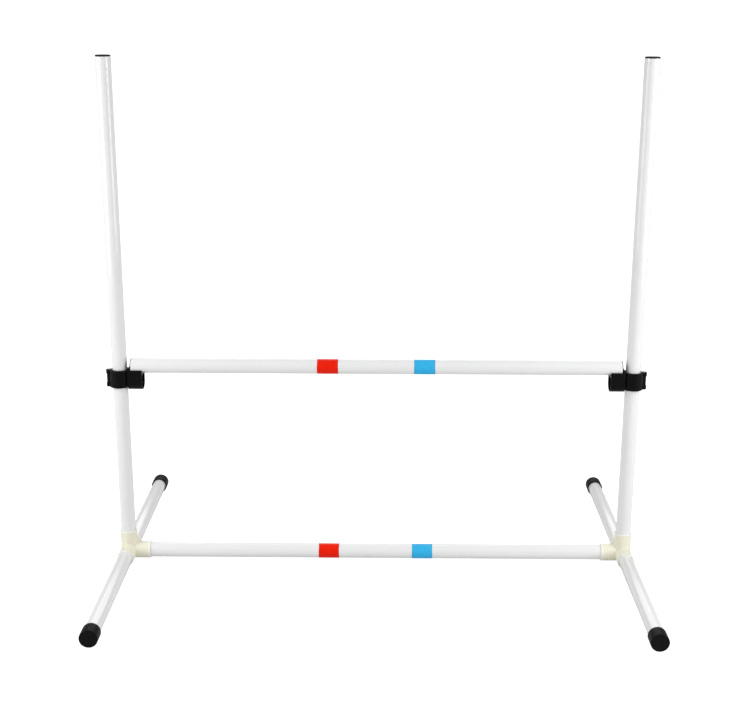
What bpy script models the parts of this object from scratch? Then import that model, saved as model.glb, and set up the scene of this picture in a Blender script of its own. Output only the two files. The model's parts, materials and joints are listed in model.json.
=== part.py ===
"""Agility hurdle: a push-fit pipe frame on four feet, with a jump bar that rests
in two height-adjustable jump cups.

Frame: X runs along the bar, Y from the front feet to the rear feet, Z is up.
The origin is on the floor, midway between the two uprights.
"""

from math import atan2, cos, hypot, pi, radians, sin

import bmesh
import bpy
from mathutils import Matrix, Vector

MM = 0.001

# ---------------------------------------------------------------- driving sizes
PIPE_R = 12.5 * MM
PIPE_WALL = 2.0 * MM
UPRIGHT_X = 438.0 * MM          # from the middle to each upright's axis
UPRIGHT_TOP = 855.6 * MM        # top of the pipe above the axis of the bottom rail
FOOT_REACH = 326.0 * MM         # from the rail's axis to a foot cap's outer face
BAR_HEIGHT = 341.6 * MM         # bar's axis above the rail's axis, as set here
BAR_HALF_LENGTH = 419.1 * MM    # to the outer face of a bar plug

FIT_GAP = 0.3 * MM              # radial play of every pipe in its socket, cap or collar
SEAT_GAP = 0.3 * MM             # play where two faces butt together

SOCKET_R = 14.4 * MM
SOCKET_REACH = 38.5 * MM        # from a fitting's centre to each socket's mouth
SOCKET_DEPTH = 21.5 * MM
SOCKET_LIP = 2.0 * MM           # the raised lip round a socket's mouth: its length
SOCKET_LIP_RISE = 0.3 * MM
BRANCH_STEP = 0.1 * MM          # each branch is this much slimmer than the run it joins

CAP_R = 14.9 * MM
CAP_LENGTH = 25.0 * MM
CAP_END = 2.2 * MM
CAP_EDGE = 1.2 * MM
CAP_FLAT_DROP = 0.1 * MM        # depth of the narrow flat a foot cap stands on

PLUG_R = 12.3 * MM
UPRIGHT_FLANGE = 2.7 * MM       # the uprights' plugs have thicker heads
BAR_FLANGE = 1.2 * MM
PLUG_STEM = 14.0 * MM
PLUG_WALL = 1.6 * MM
PLUG_EDGE = 0.5 * MM

BAND_WIDTH = 36.0 * MM
BAND_CENTRE = 82.5 * MM
BAND_GAP = 0.2 * MM
BAND_THICKNESS = 0.3 * MM

COLLAR_R = 15.2 * MM
COLLAR_HALF = 15.25 * MM        # half the collar's height
BAR_ABOVE_COLLAR = 21.2 * MM    # bar's axis above the collar's middle

CUP_HALF_WIDTH = 14.0 * MM
CUP_ROOT = 14.5 * MM            # the cup's back face, inward from the upright's axis
CUP_END = 39.5 * MM
CUP_TOP = 15.45 * MM            # above the collar's middle
CUP_FLOOR = -6.4 * MM           # centre of the round underside, from the collar's middle
CUP_WALL = 2.4 * MM
CUP_STOP = 18.4 * MM            # the face that the bar's end meets
STOP_HALF_WIDTH = 8.5 * MM      # the tab that carries this face up above the cup
STOP_TOP = 18.2 * MM
STOP_CORNER = 2.0 * MM
STOP_BACK = CUP_ROOT + 0.2 * MM
NECK_HALF_WIDTH = 8.5 * MM
NECK_HALF_HEIGHT = 14.0 * MM

HINGE_OUT = 18.4 * MM           # the lever's hinge, outward from the upright's axis
HINGE_FRONT = 2.0 * MM          # and in front of it
BOSS_R = 4.9 * MM
BOSS_HALF = 15.0 * MM
WINDOW_R = 6.0 * MM
WINDOW_HALF = 7.9 * MM
PIN_R = 1.5 * MM
PIN_HALF = 14.8 * MM

LEVER_INNER_R = 15.5 * MM
LEVER_OUTER_R = 17.8 * MM
LEVER_HALF = 15.25 * MM
LEVER_TIP = radians(40.0)       # past the front, towards the cup
LEVER_LIP_R = 1.0 * MM
BOSS_CLEARANCE_R = 5.2 * MM
BOSS_CLEARANCE_START = 7.7 * MM
KNUCKLE_R = 3.9 * MM
KNUCKLE_HALF = 7.5 * MM
CAM_R = 3.0 * MM
CAM_OFFSET = 2.7 * MM

PIPE_SEGMENTS = 32
ROUND_SEGMENTS = 48
SMALL_SEGMENTS = 20
ARC_SEGMENTS = 24

# -------------------------------------------------------------- derived places
AXIS_Z = CAP_R - CAP_FLAT_DROP  # the rail's and the feet's axes above the floor
BAR_Z = AXIS_Z + BAR_HEIGHT
COLLAR_Z = BAR_Z - BAR_ABOVE_COLLAR
SHOULDER = SOCKET_REACH - SOCKET_DEPTH
PIPE_START = SHOULDER + SEAT_GAP
SEAT_R = PIPE_R + FIT_GAP
PASSAGE_R = PIPE_R - PIPE_WALL
OVERRUN = 1.0 * MM              # how far a cutter runs past the face it opens

LEFT = -1
RIGHT = 1
FRONT = -1
REAR = 1
SIDE_NAMES = {LEFT: "left", RIGHT: "right"}
END_NAMES = {FRONT: "front", REAR: "rear"}

WHITE = (0.90, 0.90, 0.89)
IVORY = (0.86, 0.82, 0.66)
BLACK = (0.012, 0.012, 0.013)
RED = (0.85, 0.055, 0.015)
BLUE = (0.05, 0.46, 0.82)
STEEL = (0.45, 0.45, 0.46)

# Turns that lay a shape made along +Z onto another axis.
ALONG = {
    "+Z": Matrix.Identity(4),
    "+X": Matrix.Rotation(pi / 2, 4, "Y"),
    "-X": Matrix.Rotation(-pi / 2, 4, "Y"),
    "+Y": Matrix.Rotation(-pi / 2, 4, "X"),
    "-Y": Matrix.Rotation(pi / 2, 4, "X"),
}
# Turns an (x, y) outline extruded along Z into a (y, z) outline extruded along X.
ACROSS = Matrix(((0, 0, 1, 0), (1, 0, 0, 0), (0, 1, 0, 0), (0, 0, 0, 1)))


def clear_scene():
    for obj in list(bpy.data.objects):
        bpy.data.objects.remove(obj, do_unlink=True)


def surface(name, colour, roughness, metallic=0.0):
    material = bpy.data.materials.new(name)
    material.use_nodes = True
    shader = material.node_tree.nodes["Principled BSDF"]
    shader.inputs["Base Color"].default_value = (*colour, 1.0)
    shader.inputs["Roughness"].default_value = roughness
    shader.inputs["Metallic"].default_value = metallic
    return material


# ------------------------------------------------------------------ mesh helpers
def turned(profile, segments):
    """Turn (radius, height) points about Z. A profile whose two ends lie on the axis
    makes a solid; any other profile is closed on itself and makes a ring."""
    bm = bmesh.new()
    rings = []
    for radius, height in profile:
        steps = segments if radius > 0.0 else 1
        angles = [2 * pi * i / segments for i in range(steps)]
        rings.append([bm.verts.new((radius * cos(a), radius * sin(a), height)) for a in angles])
    pairs = list(zip(rings, rings[1:]))
    if len(rings[0]) > 1:
        pairs.append((rings[-1], rings[0]))
    for lower, upper in pairs:
        for i in range(segments):
            j = (i + 1) % segments
            corners = [lower[i % len(lower)], lower[j % len(lower)],
                       upper[j % len(upper)], upper[i % len(upper)]]
            bm.faces.new(list(dict.fromkeys(corners)))
    return bm


def disc(radius, half_height, segments):
    """A plain cylinder along Z, centred on the origin."""
    bm = bmesh.new()
    bmesh.ops.create_cone(bm, cap_ends=True, segments=segments, radius1=radius,
                          radius2=radius, depth=2 * half_height)
    return bm


def extruded(outline, low, high):
    """Extrude a closed (x, y) outline along Z from low to high."""
    bm = bmesh.new()
    base = bm.faces.new([bm.verts.new((x, y, low)) for x, y in outline])
    result = bmesh.ops.extrude_face_region(bm, geom=[base])
    raised = [v for v in result["geom"] if isinstance(v, bmesh.types.BMVert)]
    bmesh.ops.translate(bm, verts=raised, vec=(0.0, 0.0, high - low))
    return bm


def box(low, high):
    bm = bmesh.new()
    bmesh.ops.create_cube(bm, size=1.0)
    bmesh.ops.scale(bm, verts=bm.verts, vec=[b - a for a, b in zip(low, high)])
    bmesh.ops.translate(bm, verts=bm.verts, vec=[(a + b) / 2 for a, b in zip(low, high)])
    return bm


def moved(bm, matrix):
    bmesh.ops.transform(bm, matrix=matrix, verts=bm.verts)
    return bm


def object_from(name, bm, material, location=(0.0, 0.0, 0.0), parent=None):
    """Make an object from a bmesh. The location is in world axes, and a parent is
    always one that has no parent itself."""
    bmesh.ops.recalc_face_normals(bm, faces=bm.faces)
    mesh = bpy.data.meshes.new(name)
    bm.to_mesh(mesh)
    bm.free()
    mesh.shade_smooth()
    mesh.set_sharp_from_angle(angle=radians(30.0))
    if material:
        mesh.materials.append(material)
    obj = bpy.data.objects.new(name, mesh)
    bpy.context.scene.collection.objects.link(obj)
    obj.location = location
    if parent:
        obj.parent = parent
        obj.location = Vector(location) - parent.location
    return obj


def combine(target, tool_bm, operation, label):
    """Boolean a helper shape into target. The helper stays in the file as a guide."""
    tool = object_from(f"guide_{target.name}_{label}", tool_bm, None)
    tool.hide_render = True
    tool.display_type = "WIRE"
    tool.parent = target
    modifier = target.modifiers.new(label, "BOOLEAN")
    modifier.operation = operation
    modifier.solver = "EXACT"
    modifier.object = tool


def add(target, tool_bm, label):
    combine(target, tool_bm, "UNION", label)


def cut(target, tool_bm, label):
    combine(target, tool_bm, "DIFFERENCE", label)


# ------------------------------------------------------------------ frame pieces
def pipe(name, start, end, axis, material, location=(0.0, 0.0, AXIS_Z), parent=None):
    """A hollow pipe along an axis through location, from start to end along it."""
    bore = PIPE_R - PIPE_WALL
    bm = turned([(PIPE_R, start), (PIPE_R, end), (bore, end), (bore, start)], PIPE_SEGMENTS)
    return object_from(name, moved(bm, ALONG[axis]), material, location, parent)


def socket_end(radius):
    """Outline of one socket's outer surface, from under its lip to its mouth."""
    lip_start = SOCKET_REACH - SOCKET_LIP
    lip_r = radius + SOCKET_LIP_RISE
    return [(radius, lip_start - SOCKET_LIP_RISE), (lip_r, lip_start),
            (lip_r, SOCKET_REACH - SOCKET_LIP_RISE), (lip_r - SOCKET_LIP_RISE, SOCKET_REACH)]


def bore_end(passage_r):
    """Outline of one socket's hollow, from the shoulder out past the mouth."""
    mouth = SOCKET_REACH + OVERRUN
    return [(passage_r, SHOULDER), (SEAT_R, SHOULDER), (SEAT_R, mouth)]


def run_shape(end):
    """A solid along Z with the same end outline at both ends."""
    near = [(r, -z) for r, z in reversed(end)]
    profile = [(0.0, near[0][1]), *near, *end, (0.0, end[-1][1])]
    return turned(profile, PIPE_SEGMENTS)


def branch_shape(end, start_r, start):
    """A solid along +Z that begins inside the run and has the end outline at its top."""
    profile = [(0.0, start), (start_r, start), *end, (0.0, end[-1][1])]
    return turned(profile, PIPE_SEGMENTS)


def corner_fitting(side, material):
    """A straight run for the two feet, with one branch up and one along the rail.
    Every bore stops at a shoulder, and narrower passages join all four."""
    inward = "+X" if side == LEFT else "-X"
    location = (side * UPRIGHT_X, 0.0, AXIS_Z)
    run = moved(run_shape(socket_end(SOCKET_R)), ALONG["+Y"])
    body = object_from(f"corner_fitting_{SIDE_NAMES[side]}", run, material, location)
    branches = {"+Z": BRANCH_STEP, inward: 2 * BRANCH_STEP}
    for axis, step in branches.items():
        radius = SOCKET_R - step
        branch = branch_shape(socket_end(radius), radius, -step)
        add(body, moved(branch, ALONG[axis]), f"branch_{axis[1]}")
    cut(body, moved(run_shape(bore_end(PASSAGE_R)), ALONG["+Y"]), "bore_Y")
    for axis, step in branches.items():
        passage_r = PASSAGE_R - step
        bore = branch_shape(bore_end(passage_r), passage_r, -step)
        cut(body, moved(bore, ALONG[axis]), f"bore_{axis[1]}")
    return body


def foot_cap(side, end, material):
    """A slip-over cap with a softened rim, and a narrow flat underneath to stand on."""
    bottom = CAP_LENGTH - CAP_END
    softening = 0.3 * CAP_EDGE
    shell = turned([
        (0.0, bottom), (SEAT_R, bottom), (SEAT_R, 0.0), (CAP_R, 0.0),
        (CAP_R, CAP_LENGTH - CAP_EDGE), (CAP_R - softening, CAP_LENGTH - softening),
        (CAP_R - CAP_EDGE, CAP_LENGTH), (0.0, CAP_LENGTH),
    ], ROUND_SEGMENTS)
    axis = "-Y" if end == FRONT else "+Y"
    location = (side * UPRIGHT_X, end * (FOOT_REACH - CAP_LENGTH), AXIS_Z)
    name = f"foot_cap_{END_NAMES[end]}_{SIDE_NAMES[side]}"
    cap = object_from(name, moved(shell, ALONG[axis]), material, location)
    reach = 2 * CAP_LENGTH
    cut(cap, box((-CAP_R, -reach, -2 * CAP_R), (CAP_R, reach, -AXIS_Z)), "flat")
    return cap


def foot(side, end, pipe_material, cap_material):
    """One foot pipe, from the fitting's shoulder to the inside of its cap."""
    axis = "-Y" if end == FRONT else "+Y"
    name = f"foot_pipe_{END_NAMES[end]}_{SIDE_NAMES[side]}"
    tip = FOOT_REACH - CAP_END - SEAT_GAP
    pipe(name, PIPE_START, tip, axis, pipe_material, (side * UPRIGHT_X, 0.0, AXIS_Z))
    foot_cap(side, end, cap_material)


def end_plug(name, axis, location, flange, material, parent=None):
    """A push-in plug: a flange on the pipe's end face and a hollow stem inside."""
    top = SEAT_GAP + flange
    stem_r = PASSAGE_R - FIT_GAP
    shell = turned([
        (0.0, top), (PLUG_R - PLUG_EDGE, top), (PLUG_R, top - PLUG_EDGE), (PLUG_R, SEAT_GAP),
        (stem_r, SEAT_GAP), (stem_r, PLUG_EDGE - PLUG_STEM), (stem_r - PLUG_EDGE, -PLUG_STEM),
        (stem_r - PLUG_WALL, -PLUG_STEM), (stem_r - PLUG_WALL, -PLUG_WALL), (0.0, -PLUG_WALL),
    ], PIPE_SEGMENTS)
    return object_from(name, moved(shell, ALONG[axis]), material, location, parent)


def band(name, x, z, material, parent=None):
    """A coloured tape band wrapped round a pipe that runs along X."""
    inner = PIPE_R + BAND_GAP
    outer = inner + BAND_THICKNESS
    half = BAND_WIDTH / 2
    bm = turned([(outer, -half), (outer, half), (inner, half), (inner, -half)], PIPE_SEGMENTS)
    return object_from(name, moved(bm, ALONG["+X"]), material, (x, 0.0, z), parent)


def upright(side, pipe_material, plug_material):
    x = side * UPRIGHT_X
    pipe(f"upright_{SIDE_NAMES[side]}", PIPE_START, UPRIGHT_TOP, "+Z", pipe_material,
         (x, 0.0, AXIS_Z))
    end_plug(f"upright_plug_{SIDE_NAMES[side]}", "+Z", (x, 0.0, AXIS_Z + UPRIGHT_TOP),
             UPRIGHT_FLANGE, plug_material)


def bottom_rail(pipe_material, red, blue):
    half = UPRIGHT_X - PIPE_START
    pipe("bottom_rail", -half, half, "+X", pipe_material)
    band("rail_band_red", -BAND_CENTRE, AXIS_Z, red)
    band("rail_band_blue", BAND_CENTRE, AXIS_Z, blue)


def jump_bar(pipe_material, plug_material, red, blue):
    half = BAR_HALF_LENGTH - BAR_FLANGE - SEAT_GAP
    bar = pipe("jump_bar", -half, half, "+X", pipe_material, (0.0, 0.0, BAR_Z))
    band("bar_band_red", -BAND_CENTRE, BAR_Z, red, bar)
    band("bar_band_blue", BAND_CENTRE, BAR_Z, blue, bar)
    end_plug("bar_plug_left", "-X", (-half, 0.0, BAR_Z), BAR_FLANGE, plug_material, bar)
    end_plug("bar_plug_right", "+X", (half, 0.0, BAR_Z), BAR_FLANGE, plug_material, bar)


# ------------------------------------------------------------------ jump cups
# A jump cup is drawn for the left upright: +X points inward, to the bar, and the
# origin is on the upright's axis at the collar's middle. hand() mirrors it in X.
HINGE = Vector((-HINGE_OUT, -HINGE_FRONT, 0.0))


def hand(bm, side):
    if side == RIGHT:
        moved(bm, Matrix.Scale(-1.0, 4, (1.0, 0.0, 0.0)))
    return bm


def at_hinge(bm):
    return moved(bm, Matrix.Translation(HINGE))


def arc(radius, start, end, steps):
    """Points round the upright's axis; angles run from the front towards the cup."""
    angles = [start + (end - start) * i / steps for i in range(steps + 1)]
    return [(radius * sin(a), -radius * cos(a)) for a in angles]


def cup_outline(half_width, top):
    """A U in the (y, z) plane: straight sides over a half-round underside."""
    angles = [pi * i / ARC_SEGMENTS for i in range(ARC_SEGMENTS + 1)]
    under = [(half_width * cos(a), CUP_FLOOR - half_width * sin(a)) for a in angles]
    return [(half_width, top), *under, (-half_width, top)]


def stop_outline():
    """The end stop's tab in the (y, z) plane, its lower half buried in the cup's wall."""
    shoulder = STOP_HALF_WIDTH - STOP_CORNER
    corner = STOP_TOP - STOP_CORNER
    root = CUP_TOP / 2
    return [(STOP_HALF_WIDTH, root), (STOP_HALF_WIDTH, corner), (shoulder, STOP_TOP),
            (-shoulder, STOP_TOP), (-STOP_HALF_WIDTH, corner), (-STOP_HALF_WIDTH, root)]


def jump_cup(side, material):
    """Collar, bar cup and hinge bosses, moulded in one piece round the upright."""
    location = (side * UPRIGHT_X, 0.0, COLLAR_Z)
    body = object_from(f"jump_cup_{SIDE_NAMES[side]}",
                       disc(COLLAR_R, COLLAR_HALF, ROUND_SEGMENTS), material, location)
    cup = moved(extruded(cup_outline(CUP_HALF_WIDTH, CUP_TOP), CUP_ROOT, CUP_END), ACROSS)
    add(body, hand(cup, side), "cup")
    stop = moved(extruded(stop_outline(), STOP_BACK, CUP_STOP + OVERRUN), ACROSS)
    add(body, hand(stop, side), "stop")
    neck = box((0.0, -NECK_HALF_WIDTH, -NECK_HALF_HEIGHT),
               (CUP_ROOT + OVERRUN, NECK_HALF_WIDTH, NECK_HALF_HEIGHT))
    add(body, hand(neck, side), "neck")
    add(body, hand(at_hinge(disc(BOSS_R, BOSS_HALF, ROUND_SEGMENTS)), side), "bosses")

    cut(body, disc(SEAT_R, 2 * COLLAR_HALF, ROUND_SEGMENTS), "upright_bore")
    seat_length = CUP_END + OVERRUN - CUP_STOP
    seat = moved(disc(SEAT_R, seat_length / 2, ROUND_SEGMENTS), ALONG["+X"])
    seat_middle = (CUP_STOP + seat_length / 2, 0.0, BAR_ABOVE_COLLAR)
    cut(body, hand(moved(seat, Matrix.Translation(seat_middle)), side), "bar_seat")
    core_top = BAR_ABOVE_COLLAR - SEAT_R - CUP_WALL
    core = extruded(cup_outline(CUP_HALF_WIDTH - CUP_WALL, core_top),
                    CUP_STOP, CUP_END + OVERRUN)
    cut(body, hand(moved(core, ACROSS), side), "core")
    cut(body, hand(at_hinge(disc(WINDOW_R, WINDOW_HALF, ROUND_SEGMENTS)), side), "cam_window")
    pin_hole = disc(PIN_R + FIT_GAP, 2 * BOSS_HALF, SMALL_SEGMENTS)
    cut(body, hand(at_hinge(pin_hole), side), "pin_hole")
    return body


def hinge_location(side):
    return Vector((side * (UPRIGHT_X + HINGE_OUT), -HINGE_FRONT, COLLAR_Z))


def cam_lever(side, material, parent):
    """A curved lever that folds round the collar's front. Its knuckle carries a cam
    lobe that bears on the upright through the collar's window."""
    hinge_angle = atan2(HINGE.x, -HINGE.y)
    outer = arc(LEVER_OUTER_R, hinge_angle, LEVER_TIP, ARC_SEGMENTS)
    inner = arc(LEVER_INNER_R, LEVER_TIP, hinge_angle, ARC_SEGMENTS)
    to_hinge = Matrix.Translation(-HINGE)
    plate = moved(extruded(outer + inner, -LEVER_HALF, LEVER_HALF), to_hinge)
    lever = object_from(f"cam_lever_{SIDE_NAMES[side]}", hand(plate, side), material,
                        hinge_location(side), parent)

    add(lever, disc(KNUCKLE_R, KNUCKLE_HALF, ROUND_SEGMENTS), "knuckle")
    reach = CAM_OFFSET / hypot(HINGE.x, HINGE.y)
    lobe = moved(disc(CAM_R, KNUCKLE_HALF - BRANCH_STEP, ROUND_SEGMENTS),
                 Matrix.Translation(-HINGE * reach))
    add(lever, hand(lobe, side), "cam")
    lip_x, lip_y = arc(LEVER_OUTER_R, LEVER_TIP, LEVER_TIP, 1)[0]
    lip = moved(disc(LEVER_LIP_R, LEVER_HALF - BRANCH_STEP, SMALL_SEGMENTS),
                Matrix.Translation(Vector((lip_x, lip_y, 0.0)) - HINGE))
    add(lever, hand(lip, side), "finger_lip")
    middle = (BOSS_CLEARANCE_START + LEVER_HALF + OVERRUN) / 2
    half = (LEVER_HALF + OVERRUN - BOSS_CLEARANCE_START) / 2
    for sign, label in ((1, "upper"), (-1, "lower")):
        clearance = moved(disc(BOSS_CLEARANCE_R, half, ROUND_SEGMENTS),
                          Matrix.Translation((0.0, 0.0, sign * middle)))
        cut(lever, clearance, f"{label}_boss_clearance")
    cut(lever, disc(PIN_R + FIT_GAP, 2 * KNUCKLE_HALF, SMALL_SEGMENTS), "pin_hole")


def lever_pin(side, material, parent):
    object_from(f"lever_pin_{SIDE_NAMES[side]}", disc(PIN_R, PIN_HALF, SMALL_SEGMENTS),
                material, hinge_location(side), parent)


def main():
    clear_scene()
    white = surface("white_pvc", WHITE, 0.25)
    ivory = surface("ivory_pvc", IVORY, 0.40)
    cap_black = surface("black_cap", BLACK, 0.45)
    clamp_black = surface("black_nylon", BLACK, 0.35)
    red = surface("red_tape", RED, 0.35)
    blue = surface("blue_tape", BLUE, 0.35)
    steel = surface("pin_steel", STEEL, 0.30, 1.0)

    for side in (LEFT, RIGHT):
        corner_fitting(side, ivory)
        for end in (FRONT, REAR):
            foot(side, end, white, cap_black)
        upright(side, white, cap_black)
        cup = jump_cup(side, clamp_black)
        cam_lever(side, clamp_black, cup)
        lever_pin(side, steel, cup)
    bottom_rail(white, red, blue)
    jump_bar(white, cap_black, red, blue)


main()
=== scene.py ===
"""Finished look of the agility hurdle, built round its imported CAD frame.

Every piece is made in millimetres in the CAD node's own axes, then placed where the CAD
says the node is. Shapes that are turned are lathed from a profile with rounded corners;
moulded shapes are skinned from a distance field, so their edges and joins are filleted.
"""

import json
from itertools import product
from math import cos, pi, radians, sin

import bpy
import numpy as np
from mathutils import Matrix, Vector


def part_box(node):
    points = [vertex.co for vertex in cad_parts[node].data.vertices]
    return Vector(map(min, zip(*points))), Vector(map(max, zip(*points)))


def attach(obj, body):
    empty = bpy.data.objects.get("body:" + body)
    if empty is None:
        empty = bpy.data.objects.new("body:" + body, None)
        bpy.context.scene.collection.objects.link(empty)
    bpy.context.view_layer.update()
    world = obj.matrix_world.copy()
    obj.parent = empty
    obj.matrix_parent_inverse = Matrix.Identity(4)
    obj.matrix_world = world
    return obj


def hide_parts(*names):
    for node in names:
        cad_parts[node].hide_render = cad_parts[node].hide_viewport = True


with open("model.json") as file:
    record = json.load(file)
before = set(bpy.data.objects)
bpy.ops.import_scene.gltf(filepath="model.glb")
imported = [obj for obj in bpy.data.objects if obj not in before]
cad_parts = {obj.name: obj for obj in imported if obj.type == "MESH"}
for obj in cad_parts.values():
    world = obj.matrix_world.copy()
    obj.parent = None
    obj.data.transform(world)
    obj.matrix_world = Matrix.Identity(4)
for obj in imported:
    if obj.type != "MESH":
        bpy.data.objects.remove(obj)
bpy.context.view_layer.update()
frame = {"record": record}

MM = 0.001
RECORD = frame["record"]
BODY_OF = {node: body
           for body, nodes in RECORD["behaviour"]["bodies"].items() for node in nodes}
SLOT_OF = {row["node"]: row["material_slot"] for row in RECORD["subparts"]}
HINGES = {joint["child"]: joint["pos_m"] for joint in RECORD["behaviour"]["joints"]
          if joint["type"] == "hinge"}
SIDES = {"left": -1, "right": 1}
ENDS = {"front": -1, "rear": 1}

TURN = {
    "+Z": Matrix.Identity(4),
    "+X": Matrix.Rotation(pi / 2, 4, "Y"),
    "-X": Matrix.Rotation(-pi / 2, 4, "Y"),
    "+Y": Matrix.Rotation(-pi / 2, 4, "X"),
    "-Y": Matrix.Rotation(pi / 2, 4, "X"),
}


# ------------------------------------------------------------------------- places
def middle(node):
    low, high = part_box(node)
    return Vector([(a + b) / 2 for a, b in zip(low, high)])


def length(node, axis):
    low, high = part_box(node)
    return (high[axis] - low[axis]) / MM


# -------------------------------------------------------------------------- sizes
# Every length is in millimetres. The first group comes from the CAD, from its nodes' boxes
# and the record's left hinge.
PIPE_R = length("jump_bar", 1) / 2
UPRIGHT_X = middle("upright_right").x / MM
SOCKET_REACH = length("corner_fitting_left", 1) / 2
BAND_HALF_WIDTH = length("bar_band_red", 0) / 2
COLLAR_HALF = length("cam_lever_left", 2) / 2
HINGE_U = UPRIGHT_X - abs(HINGES["lever_left"][0]) / MM
HINGE_Y = HINGES["lever_left"][1] / MM
BAR_RISE = (middle("jump_bar").z - middle("cam_lever_left").z) / MM

PIPE_WALL = 2.0
PLAY = 0.3

SOCKET_R, SOCKET_DEPTH = 14.4, 21.5
SOCKET_LIP, SOCKET_LIP_RISE = 2.0, 0.3
# A socket's bore narrows by GRIP over GRIP_LENGTH, starting GRIP_START inside its mouth.
GRIP_START, GRIP_LENGTH, GRIP = 2.2, 1.6, 0.26

TAPE_THICK = 0.17
TAPE_OVERLAP, TAPE_CLIMB = 0.5, 0.12  # angles, in radians

# Jump cup: u runs inward from the upright's axis, y to the rear, and z up from the lever's
# middle height.
COLLAR_R = 15.2
CUP_ROOT, CUP_STOP, CUP_END = 14.5, 18.4, 39.5
CUP_HALF_WIDTH, CUP_TOP, CUP_ROUND_Z = 14.0, 15.45, -6.4
CORE_HALF_WIDTH, SEAT_FLOOR = 11.6, 2.4
NECK_START, NECK_HALF_WIDTH, NECK_HALF_HEIGHT = 4.0, 8.5, 14.0
STOP_HALF_WIDTH, STOP_FOOT, STOP_TOP = 8.5, 4.0, 18.2
BOSS_R, BOSS_GAP_HALF, BOSS_END = 4.9, 7.9, 15.0
WINDOW_R = 6.0
PIN_HOLE_R = 1.75

# Cam lever, in the jump cup's axes.
PLATE_R, PLATE_HALF_THICK = 16.65, 1.15
PLATE_TIP = radians(40.0)
THUMB_LIP_R, THUMB_LIP_FROM_AXIS = 1.0, 17.75
KNUCKLE_R, KNUCKLE_HALF = 3.9, 7.5
LOBE_R, LOBE_OFFSET = 3.0, 2.7
NOTCH_R, NOTCH_START = 5.2, 7.7

SKIN_CELL = 0.55
LEVER_CELL = 0.45
SKIN_SHARP = 60.0  # degrees: skinned shapes carry their rounding in the mesh
LATHE_SHARP = 32.0
PLACE_STEP = 311.0  # texture shift from node to node, so that no two show the same marks


# ------------------------------------------------------------------------- shapes
def rounded(corners, closed=False, steps=5):
    """A profile through (radius, height, rounding) corners, as (radius, height) points."""
    points = []
    count = len(corners)
    for i, (radius, height, rounding) in enumerate(corners):
        here = Vector((radius, height))
        if rounding == 0:
            points.append(here)
            continue
        before = Vector(corners[i - 1][:2]) - here
        after = Vector(corners[(i + 1) % count][:2]) - here
        start = here + before.normalized() * rounding
        end = here + after.normalized() * rounding
        for step in range(steps + 1):
            t = step / steps
            points.append(start * (1 - t) ** 2 + here * 2 * t * (1 - t) + end * t ** 2)
    return points + points[:1] if closed else points


def lathe(profile, segments=112):
    """Turns a profile about Z. Returns (points, faces)."""
    points, faces, rings = [], [], []
    closed = profile[0] == profile[-1]
    for point in profile[:-1] if closed else profile:
        steps = segments if point[0] > 0 else 1
        rings.append(range(len(points), len(points) + steps))
        for i in range(steps):
            angle = 2 * pi * i / segments
            points.append((point[0] * cos(angle), point[0] * sin(angle), point[1]))
    pairs = list(zip(rings, rings[1:]))
    if closed:
        pairs.append((rings[-1], rings[0]))
    for lower, upper in pairs:
        for i in range(segments):
            j = (i + 1) % segments
            corners = (lower[i % len(lower)], lower[j % len(lower)],
                       upper[j % len(upper)], upper[i % len(upper)])
            faces.append(tuple(dict.fromkeys(corners)))
    return np.array(points), faces


def eased(t):
    """Goes from 0 to 1 with t, flat at both ends."""
    t = np.clip(t, 0.0, 1.0)
    return t * t * (3 - 2 * t)


def smooth_union(a, b, blend):
    share = np.clip(0.5 + 0.5 * (b - a) / blend, 0.0, 1.0)
    return b * (1 - share) + a * share - blend * share * (1 - share)


def smooth_cut(a, b, blend):
    """Distance to a with b taken away, the new edge eased."""
    return -smooth_union(-a, b, blend)


def rounded_overlap(edge, *fields):
    """Distance to the overlap of the fields, with its edges rounded."""
    raised = [field + edge for field in fields]
    outside = np.sqrt(sum(np.maximum(field, 0.0) ** 2 for field in raised))
    return outside + np.minimum(np.maximum.reduce(raised), 0.0) - edge


def slab(along, low, high):
    return np.abs(along - (low + high) / 2) - (high - low) / 2


def corner_of_cells(array, offset):
    """For each cell of a grid, the value at its corner with this (0 or 1) offset."""
    return array[tuple(slice(o, o + n - 1) for o, n in zip(offset, array.shape))]


def cell_points(value, origin, cell):
    """One point in each cell that the surface crosses, the mean of where it crosses the
    cell's edges, and the index of each such cell's point, -1 for the other cells."""
    shape = tuple(n - 1 for n in value.shape)
    total = np.zeros(shape + (3,))
    count = np.zeros(shape)
    for axis in range(3):
        for pair in product((0, 1), repeat=2):
            start = list(pair)
            start.insert(axis, 0)
            end = list(pair)
            end.insert(axis, 1)
            a, b = corner_of_cells(value, start), corner_of_cells(value, end)
            crossed = (a < 0) != (b < 0)
            part = np.where(crossed, a / np.where(crossed, a - b, 1.0), 0.0)
            for k in range(3):
                total[..., k] += part if k == axis else crossed * start[k]
            count += crossed
    active = count > 0
    index = np.full(shape, -1)
    index[active] = np.arange(active.sum())
    points = np.argwhere(active) + total[active] / count[active][:, None]
    return origin + points * cell, index


def cell_quads(value, index):
    """A quad through the four cells round each grid edge that the surface crosses."""
    inside = value < 0
    quads = []
    for axis in range(3):
        u, v = (axis + 1) % 3, (axis + 2) % 3
        a = np.take(inside, range(inside.shape[axis] - 1), axis)
        b = np.take(inside, range(1, inside.shape[axis]), axis)
        edges = np.argwhere(a != b)
        starts_inside = a[tuple(edges.T)]
        around = []
        for du, dv in ((-1, -1), (0, -1), (0, 0), (-1, 0)):
            cells = edges.copy()
            cells[:, u] += du
            cells[:, v] += dv
            around.append(index[tuple(cells.T)])
        quad = np.stack(around, 1)
        quad[~starts_inside] = quad[~starts_inside][:, ::-1]
        quads.append(quad)
    return np.concatenate(quads).tolist()


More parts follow.
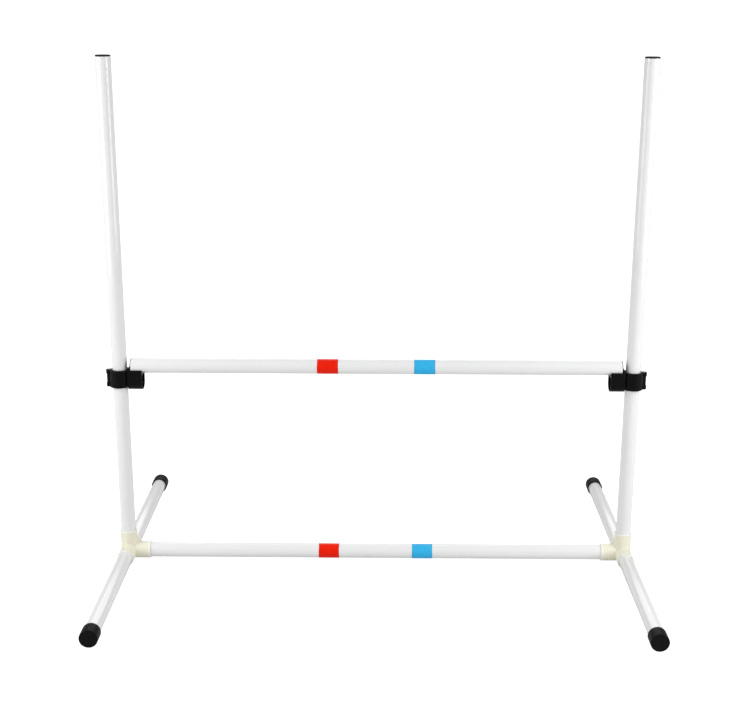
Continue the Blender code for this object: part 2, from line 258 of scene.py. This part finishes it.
def pull_onto(field, points, reach, rounds=5):
    """Moves points onto the zero level of a field, along its slope."""
    nudge, least_slope = 0.01, 0.5
    for _ in range(rounds):
        here = field(*points.T)
        slope = np.stack([(field(*(points + d).T) - field(*(points - d).T)) / (2 * nudge)
                          for d in np.eye(3) * nudge], 1)
        steepness = np.maximum((slope ** 2).sum(1), least_slope ** 2)
        step = here[:, None] * slope / steepness[:, None]
        points = points - np.clip(step, -reach, reach)
    return points


def skin(field, low, high, cell=SKIN_CELL):
    """Quads over the zero level of a distance field. Returns (points, faces)."""
    before, after = 1.5 * cell, 2.5 * cell
    axes = [np.arange(a - before, b + after, cell) for a, b in zip(low, high)]
    origin = np.array([axis[0] for axis in axes])
    value = field(*np.meshgrid(*axes, indexing="ij"))
    points, index = cell_points(value, origin, cell)
    return pull_onto(field, points, cell / 2), cell_quads(value, index)


# ---------------------------------------------------------------------- materials
# Sockets of a Mix node, which has one set for numbers and one for colours.
MIX_SHARE = 0
MIX_NUMBERS, MIX_NUMBER_RESULT = (2, 3), 0
MIX_COLOURS, MIX_COLOUR_RESULT = (6, 7), 2


class Look:
    """Builds one procedural material. "place" is the piece's own position in mm, shifted
    from node to node, and own_place() is the same without the shift."""

    def __init__(self, name):
        self.material = bpy.data.materials.new(name)
        self.material.use_nodes = True
        self.tree = self.material.node_tree
        self.shader = self.tree.nodes["Principled BSDF"]
        self.place = self.node("Attribute", attribute_name="place").outputs["Vector"]

    def feed(self, socket, value):
        """Links another socket to an input, or sets the input to a value."""
        if isinstance(value, bpy.types.NodeSocket):
            self.tree.links.new(value, socket)
        else:
            socket.default_value = value

    def node(self, kind, inputs=None, **settings):
        made = self.tree.nodes.new("ShaderNode" + kind)
        for key, value in settings.items():
            setattr(made, key, value)
        for key, value in (inputs or {}).items():
            self.feed(made.inputs[key], value)
        return made

    def own_place(self):
        """The X, Y and Z sockets of the position in the shape's own axes, in mm."""
        whole = self.node("Attribute", attribute_name="own_place").outputs["Vector"]
        return self.node("SeparateXYZ", {0: whole}).outputs

    def pointiness(self):
        return self.node("NewGeometry").outputs["Pointiness"]

    def noise(self, scale, detail=2.0, stretch=None, distortion=0.0):
        vector = self.place
        if stretch:
            vector = self.node("VectorMath", {0: self.place, 1: stretch},
                               operation="MULTIPLY").outputs[0]
        return self.node("TexNoise", {"Vector": vector, "Scale": scale, "Detail": detail,
                                      "Distortion": distortion}).outputs["Fac"]

    def remap(self, value, low, high, to_low=0.0, to_high=1.0):
        return self.node("MapRange", {"Value": value, "From Min": low, "From Max": high,
                                      "To Min": to_low, "To Max": to_high}).outputs[0]

    def maths(self, operation, a, b=0.0):
        return self.node("Math", {0: a, 1: b}, operation=operation).outputs[0]

    def mix(self, share, a, b):
        made = self.node("Mix", {MIX_SHARE: share}, data_type="RGBA")
        for key, colour in zip(MIX_COLOURS, (a, b)):
            is_socket = isinstance(colour, bpy.types.NodeSocket)
            self.feed(made.inputs[key], colour if is_socket else (*colour, 1.0))
        return made.outputs[MIX_COLOUR_RESULT]

    def bump(self, height, distance_mm, normal=None):
        inputs = {"Height": height, "Distance": distance_mm * MM}
        if normal:
            inputs["Normal"] = normal
        return self.node("Bump", inputs).outputs["Normal"]

    def finish(self, **sockets):
        for key, value in sockets.items():
            self.feed(self.shader.inputs[key.replace("_", " ")], value)
        return self.material


def white_pvc():
    """Extruded pipe: faint lines along it from the die, and a few handling scuffs."""
    clean, cool = (0.885, 0.886, 0.885), (0.872, 0.875, 0.878)
    streak_colour, scuff_colour = (0.82, 0.82, 0.815), (0.68, 0.675, 0.66)
    look = Look("finish_white_pvc")
    cloud = look.noise(0.02, 3.0)
    streaks = look.noise(0.9, 3.0, stretch=(1.0, 1.0, 0.012))
    scuffs = look.noise(0.22, 6.0, stretch=(1.0, 1.0, 0.35), distortion=1.5)
    scuffs = look.maths("MULTIPLY", look.remap(scuffs, 0.66, 0.74), 0.12)
    colour = look.mix(look.remap(cloud, 0.35, 0.65), clean, cool)
    colour = look.mix(look.remap(streaks, 0.45, 0.75, 0.0, 0.24), colour, streak_colour)
    colour = look.mix(scuffs, colour, scuff_colour)
    gloss = look.remap(look.noise(0.05, 4.0), 0.3, 0.7, 0.12, 0.18)
    gloss = look.maths("ADD", gloss, scuffs)
    normal = look.bump(streaks, 0.03)
    normal = look.bump(look.noise(0.5, 3.0), 0.02, normal)
    return look.finish(Base_Color=colour, Roughness=gloss, Normal=normal, IOR=1.53,
                       Specular_IOR_Level=0.7)


def ivory_pvc():
    """Moulded fittings: a parting line, flow clouds, fine orange-peel, painted highlights on
    edges and socket lips, painted shade in creases.
    """
    pale, deep = (0.900, 0.875, 0.725), (0.880, 0.848, 0.690)
    edge_highlight_colour, crease_shade_colour = (0.93, 0.915, 0.83), (0.66, 0.60, 0.40)
    lip_highlight_colour = (0.955, 0.953, 0.92)
    lip_start = SOCKET_REACH - SOCKET_LIP
    look = Look("finish_ivory_pvc")
    flow = look.noise(0.07, 3.0, distortion=1.2)
    colour = look.mix(look.remap(flow, 0.3, 0.7), pale, deep)
    # Painted highlight: convex edges are painted paler, as if catching the light.
    edge = look.remap(look.pointiness(), 0.50, 0.56)
    colour = look.mix(look.maths("MULTIPLY", edge, 0.6), colour, edge_highlight_colour)
    # Painted shade: the creases where the sockets meet are painted darker, as if in shadow.
    crease_shade = look.remap(look.pointiness(), 0.49, 0.44)
    colour = look.mix(look.maths("MULTIPLY", crease_shade, 0.45), colour, crease_shade_colour)
    own = look.own_place()
    off_middle = look.maths("ABSOLUTE", own["X"])
    reach = look.maths("MAXIMUM", off_middle, look.maths("ABSOLUTE", own["Y"]))
    reach = look.maths("MAXIMUM", reach, own["Z"])
    # Painted highlight: the last stretch of each socket, round its mouth, is painted paler, as
    # if lit.
    lip = look.remap(reach, lip_start - 0.6, lip_start, 0.0, 0.8)
    colour = look.mix(lip, colour, lip_highlight_colour)
    parting_line = look.remap(off_middle, 0.15, 0.45, 1.0, 0.0)
    normal = look.bump(parting_line, 0.12)
    normal = look.bump(look.noise(0.9, 3.0), 0.05, normal)
    gloss = look.remap(look.noise(0.12, 4.0), 0.3, 0.7, 0.30, 0.46)
    return look.finish(Base_Color=colour, Roughness=gloss, Normal=normal, IOR=1.53)


def black_cap():
    """Soft satin plastic of caps and plugs, greyer where it has been handled."""
    new, worn, rubbed_and_highlight = (0.0035, 0.0035, 0.004), (0.006, 0.0062, 0.007), (0.016, 0.016, 0.017)
    look = Look("finish_black_cap")
    wear = look.noise(0.16, 5.0, distortion=0.6)
    rubs = look.remap(look.noise(0.5, 6.0, stretch=(1.0, 1.0, 0.4)), 0.62, 0.78)
    colour = look.mix(look.remap(wear, 0.35, 0.7), new, worn)
    colour = look.mix(look.maths("MULTIPLY", rubs, 0.4), colour, rubbed_and_highlight)
    gloss = look.remap(wear, 0.3, 0.7, 0.34, 0.50)
    normal = look.bump(look.noise(2.4, 2.0), 0.03)
    return look.finish(Base_Color=colour, Roughness=gloss, Normal=normal,
                       Specular_IOR_Level=0.10)


def black_nylon():
    """Moulded clamp nylon: fine spark-eroded grain, edges painted a little lighter in patches,
    part rubbed wear and part painted highlight.
    """
    new, worn, rubbed_and_highlight = (0.0022, 0.0022, 0.0025), (0.004, 0.004, 0.0045), (0.05, 0.05, 0.052)
    look = Look("finish_black_nylon")
    wear = look.noise(0.25, 5.0, distortion=0.8)
    colour = look.mix(look.remap(wear, 0.35, 0.7), new, worn)
    # Painted highlight: convex edges are painted lighter, as if catching light, broken up in
    # patches as edge wear would be.
    edge = look.remap(look.pointiness(), 0.53, 0.62)
    edge = look.maths("MULTIPLY", edge, look.remap(wear, 0.35, 0.65, 0.25, 1.0))
    colour = look.mix(look.maths("MULTIPLY", edge, 0.8), colour, rubbed_and_highlight)
    gloss = look.remap(look.noise(0.4, 4.0), 0.3, 0.7, 0.22, 0.36)
    normal = look.bump(look.noise(3.2, 2.0), 0.025)
    return look.finish(Base_Color=colour, Roughness=gloss, Normal=normal,
                       Specular_IOR_Level=0.10)


def vinyl_tape(name, light, dark):
    """Wrapped tape: stretch marks round the pipe, small trapped bubbles, grubby edges."""
    grubby = tuple(0.25 * part for part in dark)
    look = Look("finish_" + name)
    stretch = look.noise(0.35, 4.0, stretch=(0.25, 0.25, 1.6))
    colour = look.mix(look.remap(stretch, 0.3, 0.7), light, dark)
    along = look.maths("ABSOLUTE", look.own_place()["Z"])
    grime = look.remap(along, BAND_HALF_WIDTH - 1.6, BAND_HALF_WIDTH - 0.3, 0.0, 0.55)
    patches = look.remap(look.noise(0.5, 4.0), 0.35, 0.65, 0.4, 1.0)
    colour = look.mix(look.maths("MULTIPLY", grime, patches), colour, grubby)
    bubbles = look.node("TexVoronoi", {"Vector": look.place, "Scale": 0.16})
    bubbles = look.remap(bubbles.outputs["Distance"], 0.05, 0.13, 1.0, 0.0)
    gloss = look.remap(look.noise(0.2, 4.0), 0.3, 0.7, 0.26, 0.40)
    normal = look.bump(stretch, 0.05)
    normal = look.bump(bubbles, 0.05, normal)
    return look.finish(Base_Color=colour, Roughness=gloss, Normal=normal,
                       Specular_IOR_Level=0.12)


def pin_steel():
    """Drawn steel dowel: lines along it, the duller ones darker."""
    bright, dull = (0.52, 0.52, 0.53), (0.36, 0.36, 0.37)
    look = Look("finish_pin_steel")
    lines = look.noise(6.0, 2.0, stretch=(1.0, 1.0, 0.05))
    colour = look.mix(look.remap(lines, 0.3, 0.7), bright, dull)
    gloss = look.remap(lines, 0.3, 0.7, 0.25, 0.42)
    return look.finish(Base_Color=colour, Roughness=gloss, Metallic=1.0,
                       Normal=look.bump(lines, 0.02))


LOOKS = {
    "white_pvc": white_pvc(),
    "ivory_pvc": ivory_pvc(),
    "black_cap": black_cap(),
    "black_nylon": black_nylon(),
    "red_tape": vinyl_tape("red_tape", (0.92, 0.017, 0.001), (0.84, 0.010, 0.001)),
    "blue_tape": vinyl_tape("blue_tape", (0.045, 0.50, 0.88), (0.035, 0.44, 0.80)),
    "pin_steel": pin_steel(),
}


# ------------------------------------------------------------------------- pieces
def dress(node, shape, place, sharp=LATHE_SHARP, floor=None):
    """Makes the finished piece that stands for a CAD node. The shape is in mm, and the
    matrix puts it in the frame, in metres. No point goes below the floor, if given."""
    points, faces = shape
    matrix = np.array(place @ Matrix.Scale(MM, 4))
    verts = points @ matrix[:3, :3].T + matrix[:3, 3]
    if floor is not None:
        verts[:, 2] = np.maximum(verts[:, 2], floor)
    if np.linalg.det(matrix[:3, :3]) < 0:
        faces = [face[::-1] for face in faces]
    mesh = bpy.data.meshes.new(node + "_finish")
    mesh.from_pydata(verts.tolist(), [], faces)
    shift = PLACE_STEP * list(BODY_OF).index(node)
    for name, values in (("own_place", points), ("place", points + (0.0, 0.0, shift))):
        where = mesh.attributes.new(name, "FLOAT_VECTOR", "POINT")
        where.data.foreach_set("vector", values.astype(np.float32).ravel())
    mesh.materials.append(LOOKS[SLOT_OF[node]])
    mesh.shade_smooth()
    mesh.set_sharp_from_angle(angle=radians(sharp))
    mesh.validate()
    piece = bpy.data.objects.new(node + "_finish", mesh)
    bpy.context.scene.collection.objects.link(piece)
    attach(piece, BODY_OF[node])
    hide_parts(node)


def at(node, axis, side=None):
    """Places a shape made along +Z on a node's middle, or on its low or high end."""
    low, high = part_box(node)
    centre = middle(node)
    index = "XYZ".index(axis[1])
    if side is not None:
        centre[index] = (high if side > 0 else low)[index]
    return Matrix.Translation(centre) @ TURN[axis]


def pipe(node, axis):
    """A pipe with its cut ends lightly deburred."""
    half = length(node, "XYZ".index(axis[1])) / 2
    bore = PIPE_R - PIPE_WALL
    ease = 0.35
    profile = rounded([(PIPE_R, -half, ease), (PIPE_R, half, ease), (bore, half, ease),
                       (bore, -half, ease)], closed=True, steps=3)
    dress(node, lathe(profile), at(node, axis))


def foot_cap(node, axis, end):
    """A slip-over cap. Its end is dished inside a rounded rim, round a small gate mark."""
    low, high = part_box(node)
    radius = (high[0] - low[0]) / MM / 2
    deep = length(node, 1)
    seat = PIPE_R + PLAY
    end_wall = 2.2
    rim, rim_foot = radius - 2.6, radius - 3.0
    dish = 0.35
    gate_foot, gate, gate_drop = 1.4, 1.2, 0.05
    profile = rounded([
        (0.0, -end_wall, 0), (seat, -end_wall, 0.4), (seat, -deep, 0.4),
        (radius, -deep, 0.5), (radius, 0.0, 1.5), (rim, 0.0, 0.3), (rim_foot, -dish, 0.3),
        (gate_foot, -dish, 0.2), (gate, -gate_drop, 0.2), (0.0, -gate_drop, 0)], steps=6)
    dress(node, lathe(profile), at(node, axis, end), floor=low[2])


def plug(node, pipe_node, axis, end):
    """A push-in plug: a crowned flange on the pipe's end, and a hollow stem inside it."""
    index = "XYZ".index(axis[1])
    radius = length(node, (index + 1) % 3) / 2
    deep = length(node, index)
    outer = 1 if end > 0 else 0
    flange = abs(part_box(node)[outer][index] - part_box(pipe_node)[outer][index]) / MM - PLAY
    stem = PIPE_R - PIPE_WALL - PLAY
    wall = 1.6
    crown = 0.3 * flange
    shoulder, shoulder_drop = radius - 2.2, 0.3 * crown
    profile = rounded([
        (0.0, 0.0, 0), (shoulder, -shoulder_drop, 1.0), (radius, -crown, 0.3),
        (radius, -flange, 0.2), (stem, -flange, 0.2), (stem, -deep, 0.5),
        (stem - wall, -deep, 0.3), (stem - wall, -flange - wall, 0.6),
        (0.0, -flange - wall, 0)])
    dress(node, lathe(profile), at(node, axis, end))


def strip(a, b):
    """Quads between two rows of points."""
    return [(a[i], a[i + 1], b[i + 1], b[i]) for i in range(len(a) - 1)]


def tape_band(node):
    """Tape wrapped once round the pipe, its free end lying over its start at the back.
    Its cut edges wander a little."""
    width = 0.99 * length(node, 0)
    turns, rows = 150, 18
    under, over = 0.03, 1.1 * TAPE_THICK
    sheet = np.zeros((2, turns + 1, rows + 1, 3))
    for i in range(turns + 1):
        angle = (2 * pi + TAPE_OVERLAP) * i / turns
        climb = eased((angle - 2 * pi + TAPE_CLIMB) / TAPE_CLIMB)
        radius = PIPE_R + under + over * climb
        for j in range(rows + 1):
            wave = 0.12 * sin(3 * angle + 1.3 * (j > rows / 2)) + 0.06 * sin(11 * angle)
            along = width * (j / rows - 0.5) + wave * abs(2 * j / rows - 1) ** 8
            for k, r in enumerate((radius, radius + TAPE_THICK)):
                sheet[k, i, j] = (r * cos(angle), r * sin(angle), along)
    points = sheet.reshape(-1, 3)
    inner, outer = np.arange(len(points)).reshape(2, turns + 1, rows + 1)

    faces = []
    for j in range(rows):
        faces += strip(outer[:, j], outer[:, j + 1])
        faces += strip(inner[:, j + 1], inner[:, j])
    faces += strip(inner[:, 0], outer[:, 0])
    faces += strip(outer[:, -1], inner[:, -1])
    faces += strip(inner[0], outer[0])[::-1]
    faces += strip(outer[-1], inner[-1])
    faces = [[int(v) for v in face] for face in faces]
    seam_at_back = Matrix.Rotation(radians(-60.0), 4, "Z")
    dress(node, (points, faces), at(node, "+X") @ seam_at_back)


def mirrored(centre, side):
    """Puts a left-hand shape, whose X runs inward from the upright, on either side."""
    return Matrix.Translation(centre) @ Matrix.Diagonal((-side, 1.0, 1.0, 1.0))


# ---------------------------------------------------------------- corner fittings
def socket(across, along):
    """A socket's outside, with a slightly raised lip round its mouth."""
    barrel = rounded_overlap(0.5, across - SOCKET_R, slab(along, -1.0, SOCKET_REACH))
    lip = rounded_overlap(0.5, across - SOCKET_R - SOCKET_LIP_RISE,
                          slab(along, SOCKET_REACH - SOCKET_LIP, SOCKET_REACH))
    return smooth_union(barrel, lip, 0.25)


def bore(across, along):
    """A socket's inside. It narrows at the mouth and grips the pipe there."""
    past_mouth = 3.0
    grip = GRIP * eased((along - SOCKET_REACH + GRIP_START) / GRIP_LENGTH)
    return rounded_overlap(0.1, across - (PIPE_R + PLAY - grip),
                           slab(along, SOCKET_REACH - SOCKET_DEPTH, SOCKET_REACH + past_mouth))


def fitting_field(u, y, z):
    """Four-way corner fitting: u runs along the rail, y to the two feet, z up."""
    around_u, around_y, around_z = np.hypot(y, z), np.hypot(u, z), np.hypot(u, y)
    join, mouth = 0.6, 0.25
    run = np.minimum(socket(around_y, y), socket(around_y, -y))
    solid = smooth_union(run, socket(around_z, z), join)
    solid = smooth_union(solid, socket(around_u, u), join)
    for across, along in ((around_y, y), (around_y, -y), (around_z, z), (around_u, u)):
        solid = smooth_cut(solid, bore(across, along), mouth)
    return solid


def corner_fitting(name, side, shape):
    centre = middle("bottom_rail")
    centre.x = side * UPRIGHT_X * MM
    dress("corner_fitting_" + name, shape, mirrored(centre, side), sharp=SKIN_SHARP)


# ------------------------------------------------------------------------- clamps
def cup_profile(y, z, half_width):
    """A U across the cup, open at the top: straight sides over a half-round underside."""
    return np.hypot(y, np.minimum(z - CUP_ROUND_Z, 0.0)) - half_width


def cup_outside(u, y, z):
    """The bar cup with the neck that joins it to the collar."""
    cup = rounded_overlap(0.9, cup_profile(y, z, CUP_HALF_WIDTH),
                          slab(u, CUP_ROOT, CUP_END), z - CUP_TOP)
    neck = rounded_overlap(1.2, slab(y, -NECK_HALF_WIDTH, NECK_HALF_WIDTH),
                           slab(z, -NECK_HALF_HEIGHT, NECK_HALF_HEIGHT),
                           slab(u, NECK_START, CUP_STOP))
    return smooth_union(cup, neck, 1.2)


def end_stop(u, y, z):
    """The tab behind the bar's end, with rounded top corners."""
    tab = rounded_overlap(1.2, slab(y, -STOP_HALF_WIDTH, STOP_HALF_WIDTH), z - STOP_TOP)
    return rounded_overlap(0.6, tab, slab(u, CUP_ROOT + 0.2, CUP_STOP + 1.0), STOP_FOOT - z)


def cup_hollows(u, y, z, across, at_hinge):
    """What is cut from the jump cup, each with how much its edge is eased: the upright's
    bore, the bar's seat, the core under the seat, the lever's window and the pin's hole."""
    seat_r = PIPE_R + PLAY
    seat = np.maximum(np.hypot(y, z - BAR_RISE) - seat_r, CUP_STOP - u)
    core_top = BAR_RISE - seat_r - SEAT_FLOOR
    core = rounded_overlap(1.0, cup_profile(y, z, CORE_HALF_WIDTH),
                           slab(u, CUP_STOP, CUP_END + 6.0), z - core_top)
    window = np.maximum(at_hinge - WINDOW_R, np.abs(z) - BOSS_GAP_HALF)
    return ((across - PIPE_R - PLAY, 0.6), (seat, 0.6), (core, 0.5), (window, 0.3),
            (at_hinge - PIN_HOLE_R, 0.3))


def cup_field(u, y, z):
    """Collar, bar cup and hinge bosses, one moulding."""
    across = np.hypot(u, y)
    at_hinge = np.hypot(u - HINGE_U, y - HINGE_Y)
    solid = rounded_overlap(0.6, across - COLLAR_R, slab(z, -COLLAR_HALF, COLLAR_HALF))
    solid = smooth_union(solid, cup_outside(u, y, z), 0.8)
    solid = smooth_union(solid, end_stop(u, y, z), 0.6)
    for low, high in ((BOSS_GAP_HALF, BOSS_END), (-BOSS_END, -BOSS_GAP_HALF)):
        boss = rounded_overlap(0.7, at_hinge - BOSS_R, slab(z, low, high))
        solid = smooth_union(solid, boss, 1.0)
    for hollow, ease in cup_hollows(u, y, z, across, at_hinge):
        solid = smooth_cut(solid, hollow, ease)
    return solid


def lever_plate(u, y, z):
    """The curved plate from the hinge round the collar's front, with a thumb lip."""
    across = np.hypot(u, y)
    start = np.arctan2(HINGE_U, -HINGE_Y)
    angle = np.arctan2(u, -y)
    half_arc = (PLATE_TIP - start) / 2 * PLATE_R
    round_collar = np.abs((angle - (PLATE_TIP + start) / 2) * PLATE_R) - half_arc
    plate = rounded_overlap(0.5, np.abs(across - PLATE_R) - PLATE_HALF_THICK, round_collar,
                            slab(z, -COLLAR_HALF, COLLAR_HALF))
    lip = np.hypot(u - THUMB_LIP_FROM_AXIS * sin(PLATE_TIP),
                   y + THUMB_LIP_FROM_AXIS * cos(PLATE_TIP)) - THUMB_LIP_R
    lip = rounded_overlap(0.4, lip, slab(z, -COLLAR_HALF + 0.2, COLLAR_HALF - 0.2))
    return smooth_union(plate, lip, 1.2)


def lever_field(u, y, z):
    """Cam lever: the plate, notched round the collar's bosses, a knuckle and a cam lobe."""
    at_hinge = np.hypot(u - HINGE_U, y - HINGE_Y)
    solid = lever_plate(u, y, z)
    # The notches run out past the plate's top and bottom edges.
    past_plate = COLLAR_HALF + 3.0
    for low, high in ((NOTCH_START, past_plate), (-past_plate, -NOTCH_START)):
        notch = np.maximum(at_hinge - NOTCH_R, slab(z, low, high))
        solid = smooth_cut(solid, notch, 0.3)
    toward = LOBE_OFFSET / np.hypot(HINGE_U, HINGE_Y)
    lobe = np.hypot(u - HINGE_U * (1 - toward), y - HINGE_Y * (1 - toward)) - LOBE_R
    knuckle = rounded_overlap(0.4, np.minimum(at_hinge - KNUCKLE_R, lobe),
                              slab(z, -KNUCKLE_HALF, KNUCKLE_HALF))
    solid = smooth_union(solid, knuckle, 0.6)
    return smooth_cut(solid, at_hinge - PIN_HOLE_R, 0.3)


def lever_pin(node):
    half = length(node, 2) / 2
    radius = length(node, 0) / 2
    ease = 0.5
    profile = rounded([(0.0, -half, 0), (radius, -half, ease), (radius, half, ease),
                       (0.0, half, 0)])
    dress(node, lathe(profile, segments=40), at(node, "+Z"))


def clamp(name, side, cup_shape, lever_shape):
    centre = middle("cam_lever_" + name)
    centre.x = side * UPRIGHT_X * MM
    centre.y = 0.0
    dress("jump_cup_" + name, cup_shape, mirrored(centre, side), sharp=SKIN_SHARP)
    dress("cam_lever_" + name, lever_shape, mirrored(centre, side), sharp=SKIN_SHARP)
    lever_pin("lever_pin_" + name)


def build_pieces():
    """All the pieces. Each skinned shape is made once, in a box that just holds it."""
    fitting_shape = skin(fitting_field, (-15.0, -SOCKET_REACH, -15.0),
                         (SOCKET_REACH, SOCKET_REACH, SOCKET_REACH))
    cup_shape = skin(cup_field, (HINGE_U - 5.0, -15.5, -21.0), (CUP_END, 15.5, STOP_TOP))
    lever_shape = skin(lever_field, (HINGE_U - 5.0, -20.0, -16.0), (14.0, 4.0, 16.0),
                       LEVER_CELL)
    for name, side in SIDES.items():
        corner_fitting(name, side, fitting_shape)
        clamp(name, side, cup_shape, lever_shape)
        pipe("upright_" + name, "+Z")
        plug("upright_plug_" + name, "upright_" + name, "+Z", 1)
        plug("bar_plug_" + name, "jump_bar", "+X" if side > 0 else "-X", side)
        for end_name, end in ENDS.items():
            pipe(f"foot_pipe_{end_name}_{name}", "+Y")
            foot_cap(f"foot_cap_{end_name}_{name}", "+Y" if end > 0 else "-Y", end)
    pipe("bottom_rail", "+X")
    pipe("jump_bar", "+X")
    for band in ("rail_band_red", "rail_band_blue", "bar_band_red", "bar_band_blue"):
        tape_band(band)


# -------------------------------------------------------------------------- stage
def pale_floor():
    """A wide pale floor. It looks brighter to the camera than it shines on the object."""
    half = 60.0
    glow, extra_seen = 0.23, 0.70
    look = Look("stage_floor")
    cloud = look.node("TexNoise", {"Scale": 0.6, "Detail": 2.0}).outputs["Fac"]
    colour = look.mix(cloud, (0.44, 0.44, 0.44), (0.46, 0.46, 0.46))
    seen = look.node("LightPath").outputs["Is Camera Ray"]
    strength = look.maths("ADD", look.maths("MULTIPLY", seen, extra_seen), glow)
    look.finish(Base_Color=colour, Roughness=0.9, Specular_IOR_Level=0.0,
                Emission_Color=(1.0, 1.0, 1.0, 1.0), Emission_Strength=strength)
    mesh = bpy.data.meshes.new("floor")
    corners = [(-half, -half, 0), (half, -half, 0), (half, half, 0), (-half, half, 0)]
    mesh.from_pydata(corners, [], [(0, 1, 2, 3)])
    mesh.materials.append(look.material)
    floor = bpy.data.objects.new("floor", mesh)
    bpy.context.scene.collection.objects.link(floor)


def studio_world():
    """White to the camera. To the object it is brighter above than at the horizon."""
    at_horizon, overhead, seen = 0.20, 0.58, 1.05
    world = bpy.data.worlds.new("studio")
    bpy.context.scene.world = world
    world.use_nodes = True
    tree = world.node_tree
    background = tree.nodes["Background"]
    background.inputs["Color"].default_value = (1.0, 1.0, 1.0, 1.0)
    direction = tree.nodes.new("ShaderNodeTexCoord")
    parts = tree.nodes.new("ShaderNodeSeparateXYZ")
    tree.links.new(direction.outputs["Generated"], parts.inputs[0])
    height = tree.nodes.new("ShaderNodeMapRange")
    tree.links.new(parts.outputs["Z"], height.inputs["Value"])
    ends = {"From Min": 0.0, "From Max": 0.9, "To Min": at_horizon, "To Max": overhead}
    for key, value in ends.items():
        height.inputs[key].default_value = value
    path = tree.nodes.new("ShaderNodeLightPath")
    choose = tree.nodes.new("ShaderNodeMix")
    unseen_input, seen_input = (choose.inputs[key] for key in MIX_NUMBERS)
    tree.links.new(path.outputs["Is Camera Ray"], choose.inputs[MIX_SHARE])
    tree.links.new(height.outputs[0], unseen_input)
    seen_input.default_value = seen
    tree.links.new(choose.outputs[MIX_NUMBER_RESULT], background.inputs["Strength"])


def softbox(name, place, target, size, radiance):
    """A rectangular lamp of this width and height, hidden from the camera."""
    width, height = size
    light = bpy.data.lights.new(name, "AREA")
    light.shape = "RECTANGLE"
    light.size = width
    light.size_y = height
    light.energy = radiance * pi * width * height
    lamp = bpy.data.objects.new(name, light)
    lamp.location = place
    lamp.visible_camera = False
    aim = Vector(target) - Vector(place)
    lamp.rotation_euler = aim.to_track_quat("-Z", "Y").to_euler()
    bpy.context.scene.collection.objects.link(lamp)


def light_studio():
    """A wide softbox at each side, a narrow strip by each that draws a bright line down
    the far upright, and a weak one behind."""
    wide, narrow, rear = (0.5, 1.5), (0.12, 1.7), (2.4, 1.2)
    centre = (0.0, 0.0, 0.5)
    softbox("side_left", (-1.50, -0.55, 0.95), (-0.44, 0.0, 0.5), wide, 4.6)
    softbox("side_right", (1.50, -0.70, 0.95), (0.44, 0.0, 0.5), wide, 5.4)
    softbox("strip_left", (-1.60, -1.35, 0.95), centre, narrow, 10.0)
    softbox("strip_right", (1.60, -1.45, 0.95), centre, narrow, 10.0)
    softbox("rear", (0.0, 2.2, 1.7), (0.0, 0.0, 0.4), rear, 1.6)


def photo_camera():
    """The photograph's view: from above the uprights' tops, looking down 16 degrees."""
    yaw, pitch, roll = radians(-0.444), radians(15.944), radians(0.189)
    eye_x, eye_y, eye_over_rail = 0.01386, -2.0478, 0.9492
    forward = Vector((sin(yaw) * cos(pitch), cos(yaw) * cos(pitch), -sin(pitch)))
    right = Vector((cos(yaw), -sin(yaw), 0.0))
    up = right.cross(forward)
    tilted_right = right * cos(roll) + up * sin(roll)
    tilted_up = up * cos(roll) - right * sin(roll)
    turn = Matrix((tilted_right, tilted_up, -forward)).transposed().to_4x4()
    eye = Vector((eye_x, eye_y, eye_over_rail + middle("bottom_rail").z))
    data = bpy.data.cameras.new("photo_view")
    data.sensor_width = 36.0
    data.lens = 60.13
    camera = bpy.data.objects.new("photo_view", data)
    camera.matrix_world = Matrix.Translation(eye) @ turn
    bpy.context.scene.collection.objects.link(camera)
    bpy.context.scene.camera = camera


build_pieces()
pale_floor()
studio_world()
light_studio()
photo_camera()
bpy.context.scene.view_settings.view_transform = "Standard"
